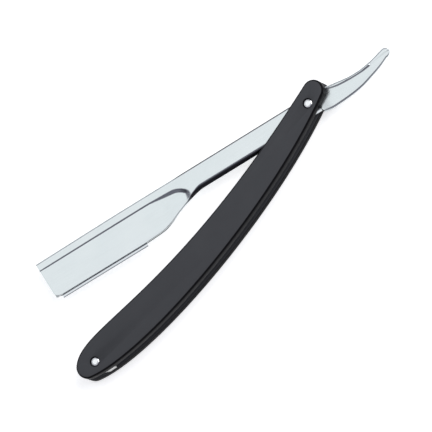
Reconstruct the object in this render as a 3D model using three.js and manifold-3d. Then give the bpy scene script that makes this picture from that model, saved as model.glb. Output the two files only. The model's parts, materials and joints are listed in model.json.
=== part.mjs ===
// A folding straight razor (shavette) with a replaceable half blade.
//
// Two moulded scales are riveted together at the butt, over a light spacer, and at the pivot.
// A folded sheet-steel arm turns on the pivot pin. Its blade end is a spring-steel holder, open
// along the edge side, and its other end is a curved tail. A thin clip carries the blade and
// slides out of the holder at the toe.
//
// Millimetres, +Z out of the front scale. In the handle, x runs from the butt rivet to the pivot
// and +y is the side that the arm folds in from. In the arm, x runs from the pivot to the toe,
// +y is the cutting-edge side, and z = 0 is the middle plane of handle and arm alike.
import * as THREE from 'three';
import { mergeVertices } from 'three/addons/utils/BufferGeometryUtils.js';
import Module from 'manifold-3d';

const wasm = await Module();
wasm.setup();

// ---- Driving dimensions: handle ----
const pivotSpan = 122.8;        // butt rivet to pivot
const scaleThickness = 3.1;     // each scale
const scaleEdgeRound = 0.8;     // rounding of each scale's outer edge
const buttEnd = { x: -3.3, y: 1.25, r: 4.5, concaveAngle: 127, convexAngle: -118 };
const pivotEnd = { beyond: 4.6, y: 1.9, r: 4.1, concaveAngle: 98, convexAngle: -73 };
const concaveReach = { butt: 15, pivot: 92 };   // how far each end's direction carries into the edge
const convexReach = { butt: 23.5, pivot: 44 };
const spacerReach = 3.4;        // spacer past the butt pin, along the convex edge
const spacerSetBack = 1.5;      // rest of its end behind that, clear of the closed toe
const spacerLip = -4.3;         // where that changes, across the handle
const spacerInset = 0.25;       // spacer inside the handle outline

// ---- Driving dimensions: rivets ----
const pinRadius = 1.1;
const pinDome = 0.08;           // rise of the pin's hammered ends
const collarWidth = 0.45;       // collar's ring around the pin
const collarRim = 0.25;         // its height at the rim
const collarDome = 0.75;        // and at the pin
const counterboreRoom = 0.3;    // around the collar
const counterboreDepth = 0.85;
const washerWidth = 1.9;        // thin washer's ring around the pin
const washerThickness = 0.22;
const bushWall = 1.1;

// ---- Driving dimensions: arm ----
const openAngle = 20;           // between arm and handle as laid down
const sheet = 0.4;              // sheet thickness
const armHalf = 1.2;            // half the arm's thickness at the shank and spine
const bladeHalf = 0.9;          // half its thickness where the plates are pressed in
const tailHalf = 0.6;           // half the pressed-together tail
const tailTaper = 0.1;          // how much less that is at its end
const beadHalf = 1.0;           // half the bead along the tail's upper side
const spineRound = 0.6;         // outer rounding of the fold
const plateEdgeRound = 0.15;    // rounding of the plates' lower edges
const rollWidth = 1.75;         // slope of the shank's rolled lower edge, across the arm
const spineAtShank = -3.9;      // spine line, across the arm
const spineAtHeel = -3.95;
const spineAtToe = -3.55;
const shankEdge = 5.05;         // lower side of the shank
const neckEdge = 3.7;           // lower side of the neck beside the pivot
const neckReach = 2.6;          // how far the neck runs to either side of the pivot
const neckShoulder = 1;         // along which the tail steps down to it
const neckRunOut = 9;           // along which it widens into the shank
const plateEdge = 11.95;        // lower edge of the holder plates
const heelLength = 28.9;        // along which the shank widens into the holder
const heelPastEdge = 0.4;       // full height of the plates, past the cutting edge's heel end
const toeToButt = 1.8;          // spine corner of the toe to the butt rivet, closed
const toeSlant = 6;             // toe, degrees off square
const toeCornerRound = 2.4;
const stepMiddle = -0.4;        // pressed step below the spine, on the holder
const stepWidth = 0.6;
const seamWidth = 0.3;          // slit between the rolled lower lips of the shank
const tailEnd = -32.8;          // where the tail's end round starts
const tailTipReach = 2.1;       // length of the end round
const tailNotch = -26;          // end of the bead along the tail
const notchLength = 0.6;        // along which the bead drops to the tail there
const rootStart = -8;           // where the tail starts to thicken towards the pivot
const rootEnd = -3.2;           // where it is as thick as the shank
const cavityStart = -5;         // inner end of the hollow between the plates
const holderOpens = 0.2;        // share of the heel's length at which the lower side is fully open

// ---- Driving dimensions: blade, clip and fits ----
const bladeThickness = 0.1;
const bladeLength = 42.6;       // tab to tab
const edgeLength = 38;          // cutting edge
const bladeHeight = 11;         // half of a double-edge blade
const tabHeight = 6.7;          // from the snapped edge to the stepped corners
const bladeExposure = 1.2;      // cutting edge below the plates
const bevelHeight = 0.7;        // ground bevel
const bladeToToe = 0.1;         // toe line to the blade's tab, at the plate edge
const clipHeel = 1.2;           // clip past the blade at the heel
const clipLip = 0.3;            // clip's lower edge inside the plates
const clipBend = 0.2;           // width of its step between bead and leaves
const clipCorner = 0.3;         // corner of its bead
const studRadius = 1.7;
const studSpacing = 30;
const slotHalfHeight = 0.7;
const centreHoleRadius = 3.2;

// ---- Fits ----
const runningFit = 0.05;        // radial clearance of what turns
const seatFit = 0.04;           // clearance of what is seated
const slideFit = 0.06;          // clearance of what slides
const bladeFit = 0.03;          // clearance of the blade in its clip
const studFit = 0.015;          // clearance of the studs in the clip

// ---- What follows from these ----
const scaleGap = 2 * (armHalf + washerThickness + 2 * seatFit);
const handleHalf = scaleGap / 2 + scaleThickness;
const collarRadius = pinRadius + collarWidth;
const counterboreRadius = collarRadius + counterboreRoom;
const washerRadius = pinRadius + washerWidth;
const bushRadius = pinRadius + bushWall;
const toeEnd = pivotSpan - toeToButt;
const toeTangent = Math.tan(THREE.MathUtils.degToRad(toeSlant));
const cuttingEdge = plateEdge + bladeExposure;
const bladeTop = cuttingEdge - bladeHeight;
const bladeMiddle = toeLine(plateEdge) - bladeToToe - bladeLength / 2;
const studPlaces = [-1, 1].map((end) => [bladeMiddle + end * studSpacing / 2, bladeTop]);
const heelEnd = bladeMiddle - edgeLength / 2 + heelPastEdge;
const heelStart = heelEnd - heelLength;
const shankStart = neckReach + neckRunOut;

const roundSegments = 32;
const curveSegments = 20;
const overcut = 1;              // how far a cutter runs past what it cuts

// The slanted toe line, moved in by setBack: x as a function of y.
function toeLine(y, setBack = 0) {
  return toeEnd - setBack - (y - spineAtToe) * toeTangent;
}

// ---- Solids: three.js shapes in, manifold joins and cuts, three.js geometry out ----
function toSolid(geometry) {
  const bare = geometry.clone();
  bare.deleteAttribute('normal');
  bare.deleteAttribute('uv');
  const merged = mergeVertices(bare);
  const vertProperties = new Float32Array(merged.attributes.position.array);
  const triVerts = new Uint32Array(merged.index.array);
  return new wasm.Manifold(new wasm.Mesh({ numProp: 3, vertProperties, triVerts }));
}

function toGeometry(solid) {
  const mesh = solid.getMesh();
  const geometry = new THREE.BufferGeometry();
  geometry.setAttribute('position', new THREE.BufferAttribute(mesh.vertProperties, 3));
  geometry.setIndex(new THREE.BufferAttribute(mesh.triVerts, 1));
  geometry.computeVertexNormals();
  return geometry;
}

function box([x0, x1], [y0, y1], [z0, z1]) {
  const geometry = new THREE.BoxGeometry(x1 - x0, y1 - y0, z1 - z0);
  return toSolid(geometry.translate((x0 + x1) / 2, (y0 + y1) / 2, (z0 + z1) / 2));
}

function rod(radius, [z0, z1], [x, y] = [0, 0]) {
  const geometry = new THREE.CylinderGeometry(radius, radius, z1 - z0, roundSegments);
  return toSolid(geometry.rotateX(Math.PI / 2).translate(x, y, (z0 + z1) / 2));
}

function plate(shape, [z0, z1]) {
  const depth = z1 - z0;
  const geometry = new THREE.ExtrudeGeometry(shape, { depth, bevelEnabled: false, curveSegments });
  return toSolid(geometry.translate(0, 0, z0));
}

// A section drawn in (y, z), run along x.
function bar(points, [x0, x1]) {
  const shape = new THREE.Shape(points.map(([y, z]) => new THREE.Vector2(y, z)));
  const geometry = new THREE.ExtrudeGeometry(shape, { depth: x1 - x0, bevelEnabled: false });
  const axes = [new THREE.Vector3(0, 1, 0), new THREE.Vector3(0, 0, 1), new THREE.Vector3(1, 0, 0)];
  geometry.applyMatrix4(new THREE.Matrix4().makeBasis(...axes));
  return toSolid(geometry.translate(x0, 0, 0));
}

// A profile of [radius, height] pairs turned about the z axis.
function turned(profile) {
  const points = profile.map(([r, z]) => new THREE.Vector2(r, z));
  return new THREE.LatheGeometry(points, roundSegments).rotateX(Math.PI / 2);
}

// Rings of equal length, each a closed (y, z) section at its own x, joined into one body.
function loft(rings) {
  const count = rings[0].points.length;
  const positions = rings.flatMap(({ x, points }) => points.flatMap(([y, z]) => [x, y, z]));
  const faces = [];
  for (let ring = 0; ring < rings.length - 1; ring++) {
    for (let i = 0; i < count; i++) {
      const a = ring * count + i;
      const b = ring * count + (i + 1) % count;
      faces.push(a, b, b + count, a, b + count, a + count);
    }
  }
  const cap = (ring) => {
    const outline = rings[ring].points.map(([y, z]) => new THREE.Vector2(y, z));
    return THREE.ShapeUtils.triangulateShape(outline, []).map((face) => face.map((i) => ring * count + i));
  };
  for (const [a, b, c] of cap(0)) faces.push(a, c, b);
  for (const [a, b, c] of cap(rings.length - 1)) faces.push(a, b, c);
  const geometry = new THREE.BufferGeometry();
  geometry.setAttribute('position', new THREE.Float32BufferAttribute(positions, 3));
  geometry.setIndex(faces);
  return toSolid(geometry);
}

// A smooth curve through [x, value] pairs that never overshoots them (monotone cubic).
function curve(pairs) {
  const slopes = pairs.slice(1).map(([x, v], i) => (v - pairs[i][1]) / (x - pairs[i][0]));
  const tangents = pairs.map((_, i) => {
    const before = slopes[i - 1] ?? slopes[i];
    const after = slopes[i] ?? slopes[i - 1];
    return before * after > 0 ? 2 * before * after / (before + after) : 0;
  });
  return (x) => {
    const last = pairs.length - 1;
    if (x <= pairs[0][0]) return pairs[0][1];
    if (x >= pairs[last][0]) return pairs[last][1];
    const i = pairs.findIndex(([end]) => end >= x) - 1;
    const width = pairs[i + 1][0] - pairs[i][0];
    const t = (x - pairs[i][0]) / width;
    const rise = pairs[i + 1][1] - pairs[i][1];
    const start = width * tangents[i];
    const end = width * tangents[i + 1];
    return pairs[i][1] + t * (start + t * (3 * rise - 2 * start - end + t * (start + end - 2 * rise)));
  };
}

function spread(from, to, steps) {
  return Array.from({ length: steps }, (_, i) => from + (to - from) * i / steps);
}

// ---- Handle ----
function endPoint(end, x, degrees) {
  const angle = THREE.MathUtils.degToRad(degrees);
  const along = new THREE.Vector2(-Math.sin(angle), Math.cos(angle));
  const at = new THREE.Vector2(x + end.r * Math.cos(angle), end.y + end.r * Math.sin(angle));
  return { at, along, angle };
}

// Two round ends joined by a shallow concave edge and a deeper convex one. inset draws it smaller.
function handleOutline(inset = 0) {
  const butt = { ...buttEnd, r: buttEnd.r - inset };
  const nose = { ...pivotEnd, r: pivotEnd.r - inset };
  const noseX = pivotSpan + nose.beyond;
  const noseBelow = endPoint(nose, noseX, nose.convexAngle);
  const noseAbove = endPoint(nose, noseX, nose.concaveAngle);
  const buttAbove = endPoint(butt, butt.x, butt.concaveAngle);
  const buttBelow = endPoint(butt, butt.x, butt.convexAngle);
  const join = (shape, from, fromReach, to, toReach) => {
    const first = from.at.clone().addScaledVector(from.along, fromReach);
    const second = to.at.clone().addScaledVector(to.along, -toReach);
    shape.bezierCurveTo(first.x, first.y, second.x, second.y, to.at.x, to.at.y);
  };
  const shape = new THREE.Shape();
  shape.moveTo(noseBelow.at.x, noseBelow.at.y);
  shape.absarc(noseX, nose.y, nose.r, noseBelow.angle, noseAbove.angle, false);
  join(shape, noseAbove, concaveReach.pivot, buttAbove, concaveReach.butt);
  shape.absarc(butt.x, butt.y, butt.r, buttAbove.angle, buttBelow.angle + 2 * Math.PI, false);
  join(shape, buttBelow, convexReach.butt, noseBelow, convexReach.pivot);
  return shape;
}

// Both scales come from one blank with rounded edges, split at its middle: side is +1 or -1.
function scale(side) {
  const blank = new THREE.ExtrudeGeometry(handleOutline(), {
    depth: 2 * (scaleThickness - scaleEdgeRound),
    bevelThickness: scaleEdgeRound,
    bevelSize: scaleEdgeRound,
    bevelOffset: -scaleEdgeRound,
    bevelSegments: 3,
    curveSegments,
  });
  blank.translate(0, 0, scaleEdgeRound - scaleThickness);
  const reach = [-pivotSpan, 2 * pivotSpan];
  const half = side > 0 ? [0, handleHalf] : [-handleHalf, 0];
  let body = toSolid(blank).intersect(box(reach, reach, half));
  const floor = scaleThickness - counterboreDepth;
  const recess = side > 0 ? [floor, handleHalf] : [-handleHalf, -floor];
  for (const x of [0, pivotSpan]) {
    body = body.subtract(rod(pinRadius + seatFit, [-handleHalf, handleHalf], [x, 0]));
    body = body.subtract(rod(counterboreRadius, recess, [x, 0]));
  }
  return toGeometry(body).translate(0, 0, side * scaleGap / 2);
}

// The butt end of the handle's outline, as thick as the gap.
function buttSpacer() {
  const half = scaleGap / 2 - seatFit;
  const outline = plate(handleOutline(spacerInset), [-half, half]);
  const below = [-pivotSpan, spacerLip];
  const across = [-pivotSpan, pivotSpan];
  const lip = box([-pivotSpan, spacerReach], below, [-half, half]);
  const rest = box([-pivotSpan, spacerReach - spacerSetBack], across, [-half, half]);
  const body = outline.intersect(rest.add(lip));
  return toGeometry(body.subtract(rod(pinRadius + seatFit, [-handleHalf, handleHalf])));
}

// A straight pin with domed ends, just below the scales' faces.
function rivetPin() {
  const top = handleHalf - counterboreDepth + collarDome;
  const shoulder = 0.6;
  const end = [[pinRadius, top], [shoulder * pinRadius, top + shoulder * pinDome], [0, top + pinDome]];
  const otherEnd = end.map(([r, z]) => [r, -z]).reverse();
  return turned([...otherEnd, ...end]);
}

// A domed washer that sits in the counterbore, around the pin's end.
function collar(side) {
  const bore = pinRadius + seatFit;
  const domeSteps = 5;
  const profile = [[bore, 0], [collarRadius, 0], [collarRadius, collarRim]];
  const fall = (r) => Math.sqrt(1 - (r / collarRadius) ** 2);
  for (let i = 1; i <= domeSteps; i++) {
    const r = collarRadius + (bore - collarRadius) * i / domeSteps;
    profile.push([r, collarRim + (collarDome - collarRim) * fall(r) / fall(bore)]);
  }
  profile.push(profile[0]);
  const geometry = turned(profile);
  const seat = handleHalf - counterboreDepth + seatFit / 2;
  if (side < 0) geometry.rotateX(Math.PI);
  return geometry.translate(0, 0, side * seat);
}

function washer(side) {
  const bore = pinRadius + runningFit;
  const inner = armHalf + seatFit;
  const outer = scaleGap / 2 - seatFit;
  const ring = [[bore, inner], [washerRadius, inner], [washerRadius, outer], [bore, outer]];
  const geometry = turned([...ring, ring[0]]);
  if (side < 0) geometry.rotateX(Math.PI);
  return geometry;
}

// ---- Arm ----
// Places along the tail as shares of its length, and places and heights along the heel, where the
// shank widens into the holder, as shares of its length and rise.
const tail = (share) => tailEnd * share;
const heel = (share) => heelStart + heelLength * share;
const heelEdge = (share) => shankEdge + (plateEdge - shankEdge) * share;

// Every line of the arm is a curve over x, from the tail's end to the toe.
const spineLine = curve([[tailEnd, -4.5], [tail(0.915), -3.75], [tail(0.823), -2.95], [tail(0.732), -2.45],
  [tail(0.64), -2.1], [tail(0.549), -2.1], [tail(0.457), -2.4], [tail(0.366), -2.85], [tail(0.274), -3.25],
  [tail(0.122), spineAtShank + 0.15], [0, spineAtShank], [heelStart, spineAtShank], [heelEnd, spineAtHeel],
  [toeEnd, spineAtToe]]);
const lowerLine = curve([[tailEnd, -0.65], [tail(0.915), 0.7], [tail(0.823), 1.85], [tail(0.732), 2.8],
  [tail(0.64), 3.75], [tail(0.549), 4.35], [tail(0.457), 4.75], [tail(0.335), 5.05], [tail(0.213), 5.2],
  [-neckReach - neckShoulder, shankEdge], [-neckReach, neckEdge], [neckReach, neckEdge],
  [shankStart, shankEdge], [heelStart, shankEdge], [heel(0.14), heelEdge(0.08)], [heel(0.29), heelEdge(0.28)],
  [heel(0.43), heelEdge(0.5)], [heel(0.57), heelEdge(0.76)], [heel(0.71), heelEdge(0.93)],
  [heelEnd, plateEdge]]);

// Half thickness above the step (the spine, or the tail's bead) and below it (the plates).
const spineHalf = curve([[tailEnd, tailHalf], [tailNotch - notchLength / 2, tailHalf],
  [tailNotch + notchLength / 2, beadHalf], [rootStart, beadHalf], [rootEnd, armHalf], [toeEnd, armHalf]]);
const plateHalf = curve([[tailEnd, tailHalf - tailTaper], [rootStart, tailHalf], [rootEnd, armHalf],
  [heel(0.09), armHalf], [heel(0.38), bladeHalf], [toeEnd, bladeHalf]]);

// Where the step starts and ends across the arm: the pressed crescent at the heel opens it out.
const stepStart = curve([[tailEnd, -3.2], [tail(0.8), -1.9], [tail(0.67), -1.3], [tail(0.457), -1.35],
  [tail(0.3), -2.0], [tail(0.09), -1.8], [0, 0.5], [heel(-0.07), 2.4], [heel(0.07), 2.7], [heel(0.16), 2.3],
  [heel(0.26), 0.8], [heel(0.31), 0.1], [heel(0.43), -0.55], [heelEnd, stepMiddle - stepWidth / 2]]);
const stepEnd = curve([[tailEnd, -2.8], [tail(0.8), -1.4], [tail(0.67), -0.8], [tail(0.457), -0.85],
  [tail(0.3), -1.5], [tail(0.09), -1.2], [0, 1.2], [heel(-0.07), 3.1], [heel(0.07), 3.5], [heel(0.16), 3.4],
  [heel(0.26), 2.8], [heel(0.31), 2.0], [heel(0.43), 1.15], [heel(0.54), 0.7], [heel(0.67), 0.05],
  [heelEnd, stepMiddle + stepWidth / 2]]);

// Rounding of the lower edge: how deep it is, as a share of the half thickness, and how wide across.
// It closes the tail and the shank, and leaves two separate plate edges on the holder.
const lowerRound = curve([[tailEnd, 0.9], [heelStart, 0.97], [heel(0.38), plateEdgeRound / bladeHalf]]);
const lowerWidth = curve([[tailEnd, tailHalf - tailTaper], [neckReach, tailHalf], [shankStart, rollWidth],
  [heelStart, rollWidth], [heel(0.16), 0.54 * rollWidth], [heel(0.38), plateEdgeRound]]);
const fullestRound = 0.9;       // largest rounding of the upper edge, as a share of the half thickness

// A quarter turn from a face to an edge: y and z are the corner, and the round lies inside it.
function corner(y, z, width, depth) {
  const steps = 4;
  return Array.from({ length: steps + 1 }, (_, i) => {
    const angle = Math.PI / 2 * i / steps;
    return [y - width * (1 - Math.sin(angle)), z - depth * (1 - Math.cos(angle))];
  });
}

// A closed section, counter-clockwise. wall draws it that much further in, and squeeze narrows it.
function armSection(x, wall = 0, squeeze = 1) {
  const upper = spineHalf(x) - wall;
  const lower = plateHalf(x) - wall;
  const top = spineLine(x) + wall;
  const bottom = hollowEdge(x, wall);
  const fold = Math.min(spineRound, fullestRound * upper);
  const front = [
    ...corner(top, upper, -fold, fold).reverse(),
    [stepStart(x), upper],
    [stepEnd(x), lower],
    ...corner(bottom, lower, lowerWidth(x), lowerRound(x) * lower),
  ];
  const middle = (top + bottom) / 2;
  const narrowed = front.map(([y, z]) => [middle + (y - middle) * squeeze, z]);
  return [...narrowed, ...narrowed.map(([y, z]) => [y, -z]).reverse()].reverse();
}

// The lower side of the section: the hollow is closed under the shank and open under the holder.
function hollowEdge(x, wall) {
  const closed = lowerLine(x) - wall;
  if (wall === 0) return closed;
  return closed + (sheet + 2 * overcut) * THREE.MathUtils.smoothstep(x, heelStart, heel(holderOpens));
}

function armStations(from) {
  return [
    ...spread(from, tailNotch - notchLength / 2, 5),
    tailNotch - notchLength / 2,
    ...spread(tailNotch + notchLength / 2, cavityStart, 12),
    cavityStart,
    ...spread(-neckReach - neckShoulder, -neckReach, 3),
    ...spread(-neckReach, neckReach, 2),
    ...spread(neckReach, shankStart, 4),
    ...spread(shankStart, heel(-0.07), 2),
    ...spread(heel(-0.07), heelEnd, 22),
    ...spread(heelEnd, toeEnd + overcut, 2),
    toeEnd + overcut,
  ];
}

function outerArm() {
  const roundSteps = 5;
  const tip = Array.from({ length: roundSteps }, (_, i) => {
    const angle = Math.PI / 2 * (roundSteps - i - 0.3) / roundSteps;
    return { x: tailEnd - tailTipReach * Math.sin(angle), points: armSection(tailEnd, 0, Math.cos(angle)) };
  });
  return loft([...tip, ...armStations(tailEnd).map((x) => ({ x, points: armSection(x) }))]);
}

function hollow() {
  const stations = armStations(tailEnd).filter((x) => x >= cavityStart);
  const inside = loft(stations.map((x) => ({ x, points: armSection(x, sheet) })));
  const seam = box([cavityStart, heel(holderOpens)], [0, plateEdge], [-seamWidth / 2, seamWidth / 2]);
  return inside.add(seam);
}

// Everything on the arm's side of the toe line, with its lower corner rounded.
function toeTrim(setBack, edge, round) {
  const far = pivotSpan;
  const below = edge - round;
  const shape = new THREE.Shape();
  shape.moveTo(-far, -far);
  shape.lineTo(toeLine(-far, setBack), -far);
  shape.lineTo(toeLine(below, setBack), below);
  shape.quadraticCurveTo(toeLine(edge, setBack), edge, toeLine(edge, setBack) - round, edge);
  shape.lineTo(toeLine(edge, setBack) - 2 * round, edge + round);
  shape.lineTo(-far, edge + far);
  return plate(shape, [-handleHalf, handleHalf]);
}

function bladeHolder() {
  const body = outerArm().intersect(toeTrim(0, plateEdge, toeCornerRound));
  const bored = body.subtract(hollow()).subtract(rod(pinRadius + runningFit, [-handleHalf, handleHalf]));
  return toGeometry(bored);
}

function pivotBush() {
  const bore = pinRadius + runningFit;
  const half = armHalf - sheet - seatFit;
  const ring = [[bore, -half], [bushRadius, -half], [bushRadius, half], [bore, half]];
  return turned([...ring, ring[0]]);
}

// ---- Blade and clip ----
function halfBlade() {
  const half = bladeThickness / 2;
  const reach = [-plateEdge, plateEdge];
  const bevel = cuttingEdge - bevelHeight;
  const section = [[bladeTop, -half], [bevel, -half], [cuttingEdge, 0], [bevel, half], [bladeTop, half]];
  let body = bar(section, [bladeMiddle - bladeLength / 2, bladeMiddle + bladeLength / 2]);
  const step = [bladeTop + tabHeight, cuttingEdge + overcut];
  for (const end of [-1, 1]) {
    const cut = [bladeMiddle + end * edgeLength / 2, bladeMiddle + end * bladeLength];
    body = body.subtract(box(cut.sort((a, b) => a - b), step, reach));
  }
  const slotHalf = studSpacing / 2 + studRadius;
  const slot = [bladeMiddle - slotHalf, bladeMiddle + slotHalf];
  body = body.subtract(box(slot, [bladeTop - overcut, bladeTop + slotHalfHeight], reach));
  body = body.subtract(rod(centreHoleRadius, reach, [bladeMiddle, bladeTop]));
  for (const place of studPlaces) body = body.subtract(rod(studRadius + slideFit, reach, place));
  return toGeometry(body);
}

// One piece of thin sheet: a bead that runs in the holder's spine, and two leaves over the blade.
function bladeClip() {
  const bead = armHalf - sheet - slideFit;
  const leaf = bladeHalf - sheet - slideFit;
  const beadTop = spineAtToe + sheet + 2 * slideFit;
  const beadEnd = stepMiddle - stepWidth;
  const lip = plateEdge - clipLip;
  const rear = [[lip, -leaf], [beadEnd, -leaf], [beadEnd - clipBend, -bead],
    [beadTop + clipCorner, -bead], [beadTop, clipCorner - bead]];
  const front = rear.map(([y, z]) => [y, -z]).reverse();
  const slitHalf = bladeThickness / 2 + bladeFit;
  const slitTop = bladeTop - slitHalf;
  const slit = [[lip, slitHalf], [slitTop, slitHalf], [slitTop, -slitHalf], [lip, -slitHalf]];
  const outline = [...rear, ...front, ...slit].reverse();
  const start = bladeMiddle - bladeLength / 2 - clipHeel;
  const reach = [-armHalf, armHalf];
  let body = bar(outline, [start, toeEnd + overcut]);
  body = body.intersect(toeTrim(slideFit, lip, toeCornerRound));
  for (const place of studPlaces) body = body.subtract(rod(studRadius + studFit, reach, place));
  return toGeometry(body);
}

function clipStud(place) {
  const half = bladeHalf - sheet - slideFit;
  const geometry = new THREE.CylinderGeometry(studRadius, studRadius, 2 * half, roundSegments);
  return geometry.rotateX(Math.PI / 2).translate(...place, 0);
}

// ---- Scene graph ----
const materials = {
  scale: new THREE.MeshStandardMaterial({ color: 0x1b1c1e, roughness: 0.42, metalness: 0 }),
  spacer: new THREE.MeshStandardMaterial({ color: 0xd9dad8, roughness: 0.4, metalness: 0 }),
  rivet: new THREE.MeshStandardMaterial({ color: 0xe6e7e8, roughness: 0.12, metalness: 1 }),
  washer: new THREE.MeshStandardMaterial({ color: 0xc9a55a, roughness: 0.35, metalness: 1 }),
  holder: new THREE.MeshStandardMaterial({ color: 0xd6dbdd, roughness: 0.2, metalness: 1 }),
  clip: new THREE.MeshStandardMaterial({ color: 0xb9bdc0, roughness: 0.3, metalness: 1 }),
  blade: new THREE.MeshStandardMaterial({ color: 0xdfe3e6, roughness: 0.15, metalness: 1 }),
};

function named(name, geometry, material) {
  const mesh = new THREE.Mesh(geometry, material);
  mesh.name = name;
  return mesh;
}

function handle() {
  const group = new THREE.Group();
  group.add(named('front_scale', scale(1), materials.scale));
  group.add(named('rear_scale', scale(-1), materials.scale));
  group.add(named('butt_spacer', buttSpacer(), materials.spacer));
  for (const [rivet, x] of [['butt', 0], ['pivot', pivotSpan]]) {
    const pieces = [
      named(`${rivet}_pin`, rivetPin(), materials.rivet),
      named(`${rivet}_collar_front`, collar(1), materials.rivet),
      named(`${rivet}_collar_rear`, collar(-1), materials.rivet),
    ];
    for (const piece of pieces) {
      piece.position.x = x;
      group.add(piece);
    }
  }
  for (const [place, side] of [['front', 1], ['rear', -1]]) {
    const piece = named(`pivot_washer_${place}`, washer(side), materials.washer);
    piece.position.x = pivotSpan;
    group.add(piece);
  }
  return group;
}

function insert() {
  const group = new THREE.Group();
  group.add(named('blade_clip', bladeClip(), materials.clip));
  group.add(named('half_blade', halfBlade(), materials.blade));
  group.add(named('clip_stud_heel', clipStud(studPlaces[0]), materials.clip));
  group.add(named('clip_stud_toe', clipStud(studPlaces[1]), materials.clip));
  return group;
}

function arm() {
  const group = new THREE.Group();
  group.add(named('blade_holder', bladeHolder(), materials.holder));
  group.add(named('pivot_bush', pivotBush(), materials.washer));
  group.add(insert());
  group.position.x = pivotSpan;
  group.rotation.z = Math.PI - THREE.MathUtils.degToRad(openAngle);
  return group;
}

// The origin is under the middle of the razor's box, on the surface that it lies on.
const razor = new THREE.Group();
razor.add(handle(), arm());
razor.updateMatrixWorld(true);
const middle = new THREE.Box3().setFromObject(razor, true).getCenter(new THREE.Vector3());
razor.position.set(-middle.x, -middle.y, handleHalf);

export default razor;
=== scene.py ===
# A folding straight razor with a replaceable half blade: the looks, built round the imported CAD.
#
# Shapes are drawn in millimetres, with z = 0 in the razor's middle plane. The handle's space has its
# origin at the butt rivet and x towards the pivot. The arm's has its origin at the pivot, x towards
# the toe and y towards the cutting edge. The pivot rivet is drawn in the handle's axes, round the
# pivot. make_mesh() puts the shapes in the frame, in metres.
import json
import math

import bmesh
import bpy
from mathutils import Matrix, Vector


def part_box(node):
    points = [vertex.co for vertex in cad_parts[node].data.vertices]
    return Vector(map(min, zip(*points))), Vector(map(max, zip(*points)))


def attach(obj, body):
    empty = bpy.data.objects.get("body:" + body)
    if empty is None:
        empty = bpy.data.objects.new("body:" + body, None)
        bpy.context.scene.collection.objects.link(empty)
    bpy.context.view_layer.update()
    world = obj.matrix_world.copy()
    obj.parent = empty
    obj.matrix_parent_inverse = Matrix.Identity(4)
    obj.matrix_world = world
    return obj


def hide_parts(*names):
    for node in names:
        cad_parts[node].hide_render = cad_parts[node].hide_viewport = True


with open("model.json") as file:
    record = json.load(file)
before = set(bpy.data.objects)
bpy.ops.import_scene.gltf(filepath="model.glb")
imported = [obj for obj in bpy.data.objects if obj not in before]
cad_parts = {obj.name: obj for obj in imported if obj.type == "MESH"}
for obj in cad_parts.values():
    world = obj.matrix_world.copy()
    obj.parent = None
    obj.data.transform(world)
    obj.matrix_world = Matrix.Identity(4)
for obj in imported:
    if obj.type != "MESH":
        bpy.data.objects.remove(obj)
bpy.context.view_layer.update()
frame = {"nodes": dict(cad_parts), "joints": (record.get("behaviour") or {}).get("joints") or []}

MM = 0.001


def centre(node):
    low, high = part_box(node)
    return (low + high) / 2


def joint(name):
    return next(j for j in frame["joints"] if j["name"] == name)


# ---- Places and sizes that the frame gives ----
BUTT = centre("butt_pin")
PIVOT = centre("pivot_pin")
SPAN = (PIVOT - BUTT).length / MM
HALF = (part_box("front_scale")[1].z - BUTT.z) / MM
GAP_HALF = (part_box("front_scale")[0].z - BUTT.z) / MM
ARM_HALF = (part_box("blade_holder")[1].z - PIVOT.z) / MM
ALONG_ARM = Vector(joint("clip_slide")["axis"]).normalized()
ARM_TURN = math.atan2(ALONG_ARM.y, ALONG_ARM.x)

HANDLE_SPACE = Matrix.Translation(BUTT) @ Matrix.Scale(MM, 4)
PIVOT_SPACE = Matrix.Translation(PIVOT) @ Matrix.Scale(MM, 4)
ARM_SPACE = Matrix.Translation(PIVOT) @ Matrix.Rotation(ARM_TURN, 4, "Z") @ Matrix.Scale(MM, 4)

# ---- Sizes of the finish, in millimetres ----
BUTT_END = {"x": -3.3, "y": 1.25, "r": 4.5, "concave": 127, "convex": -118}
NOSE_END = {"x": SPAN + 4.6, "y": 1.9, "r": 4.1, "concave": 98, "convex": -73}
CONCAVE_REACH = {"butt": 15, "nose": 92}
CONVEX_REACH = {"butt": 23.5, "nose": 44}
EDGE_ROUND = 0.8
CROWN_WIDTH = 1.3
CROWN_DROP = 0.1
INNER_ROUND = 0.15
SOFT_CORNER = 0.12
SPACER_REACH = 3.4
SPACER_SET_BACK = 1.5
SPACER_LIP = -4.3
SPACER_INSET = 0.25
SPACER_SET_IN = 1.6
SET_IN_FROM = 0.6
SET_IN_FULL = -2.4
SPACER_PLAY = 0.04

PIN_R = 1.1
PIN_DOME = 0.1
SCALE_BORE_R = PIN_R + 0.04
ARM_BORE_R = PIN_R + 0.05
COLLAR_BORE_R = PIN_R + 0.03
COLLAR_R = 1.68
COLLAR_CHAMFER = 0.05
COLLAR_RIM = 0.46
COLLAR_TOP = 0.72
COLLAR_LIFT = 0.02
COUNTERBORE_R = 1.85
COUNTERBORE_DEPTH = 0.85
CUT_PAST = 1

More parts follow.
